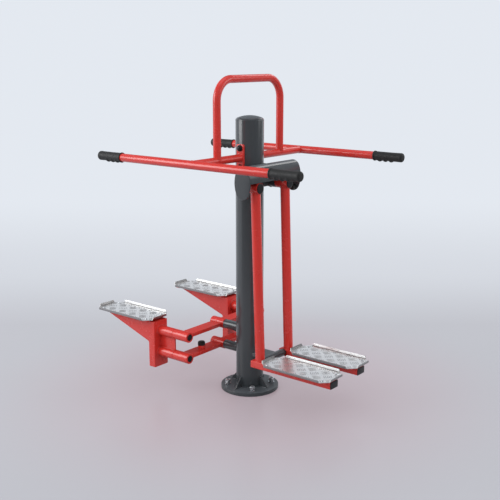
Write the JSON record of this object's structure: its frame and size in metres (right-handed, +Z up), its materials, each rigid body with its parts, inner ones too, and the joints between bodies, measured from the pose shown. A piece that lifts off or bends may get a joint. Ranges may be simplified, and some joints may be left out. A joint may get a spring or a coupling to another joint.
{
  "type": "outdoor leg abductor and stepper",
  "caption": "Outdoor exerciser on a round post, with a leg abductor's swinging footrests on one side, a seesaw stepper on the other, and handlebars and a hand loop above.",
  "frame": {"origin": "centre of the anchor bolt circle, on the base plate's underside", "axes": "+Z up along the post; +X towards the abductor, -X towards the stepper; -Y is the side nearer the camera"},
  "size_m": [1.377, 0.896, 1.596],
  "materials": {
    "grey_paint": "satin powder coat",
    "red_paint": "gloss powder coat",
    "black_rubber": "matt",
    "black_plastic": "satin",
    "zinc": "zinc plated",
    "tread": "chequered plate, bare",
    "bush": "sintered bronze"
  },
  "bodies": {
    "frame": {"post": "grey_paint", "post_cap": "grey_paint", "base_plate": "grey_paint", "base_gussets": "grey_paint", "anchor_washers": "zinc", "anchor_nuts": "zinc", "clamp_plates": "red_paint", "clamp_bolts": "zinc", "bolt_caps": "black_plastic", "cross_tube_near": "red_paint", "cross_tube_far": "red_paint", "top_loop": "red_paint", "near_handlebar": "red_paint", "far_handlebar": "red_paint", "near_front_grip": "black_rubber", "near_rear_grip": "black_rubber", "far_front_grip": "black_rubber", "far_rear_grip": "black_rubber", "hood_shell": "grey_paint", "hood_neck": "grey_paint", "hood_end_plates": "grey_paint", "outer_stops": "black_rubber", "pivot_arms": "grey_paint", "pivot_axles": "zinc", "pivot_nuts": "zinc", "inner_stop": "grey_paint", "inner_stop_buffers": "black_rubber", "step_axle_tubes": "grey_paint", "step_axles": "zinc"},
    "near_leg": {"near_leg_hub": "red_paint", "near_leg_tube": "red_paint", "near_foot_bar": "red_paint", "near_leg_bearings": "zinc", "near_pivot_cap": "black_plastic", "near_foot_plug": "black_plastic", "near_foot_plate": "tread", "near_foot_screws": "zinc"},
    "far_leg": {"far_leg_hub": "red_paint", "far_leg_tube": "red_paint", "far_foot_bar": "red_paint", "far_leg_bearings": "zinc", "far_pivot_cap": "black_plastic", "far_foot_plug": "black_plastic", "far_foot_plate": "tread", "far_foot_screws": "zinc"},
    "upper_rocker": {"upper_rocker": "red_paint", "upper_bushes": "bush", "upper_hub_plugs": "black_plastic"},
    "lower_rocker": {"lower_rocker": "red_paint", "lower_bushes": "bush", "lower_hub_plugs": "black_plastic", "bump_stops": "black_rubber"},
    "near_step": {"near_step_frame": "red_paint", "near_step_pins": "zinc", "near_step_plate": "tread", "near_step_screws": "zinc"},
    "far_step": {"far_step_frame": "red_paint", "far_step_pins": "zinc", "far_step_plate": "tread", "far_step_screws": "zinc"}
  },
  "joints": [
    {"name": "near_leg_swing", "type": "hinge", "parent": "frame", "child": "near_leg", "pos_m": [0.12, -0.117, 1.07], "axis": [-1, 0, 0], "range_deg": [0, 31]},
    {"name": "far_leg_swing", "type": "hinge", "parent": "frame", "child": "far_leg", "pos_m": [0.12, 0.117, 1.07], "axis": [1, 0, 0], "range_deg": [0, 31]},
    {"name": "upper_rock", "type": "hinge", "parent": "frame", "child": "upper_rocker", "pos_m": [-0.204, 0, 0.3085], "axis": [1, 0, 0], "range_deg": [-15, 15]},
    {"name": "lower_rock", "type": "hinge", "parent": "frame", "child": "lower_rocker", "pos_m": [-0.204, 0, 0.1965], "axis": [1, 0, 0], "range_deg": [-15, 15]},
    {"name": "near_step_level", "type": "hinge", "parent": "upper_rocker", "child": "near_step", "pos_m": [-0.204, -0.29, 0.3085], "axis": [1, 0, 0], "range_deg": [-15, 15]},
    {"name": "far_step_level", "type": "hinge", "parent": "upper_rocker", "child": "far_step", "pos_m": [-0.204, 0.29, 0.3085], "axis": [1, 0, 0], "range_deg": [-15, 15]}
  ],
  "couplings": [
    {"joint": "lower_rock", "follows": "upper_rock", "ratio": 1},
    {"joint": "near_step_level", "follows": "upper_rock", "ratio": -1},
    {"joint": "far_step_level", "follows": "upper_rock", "ratio": -1}
  ]
}
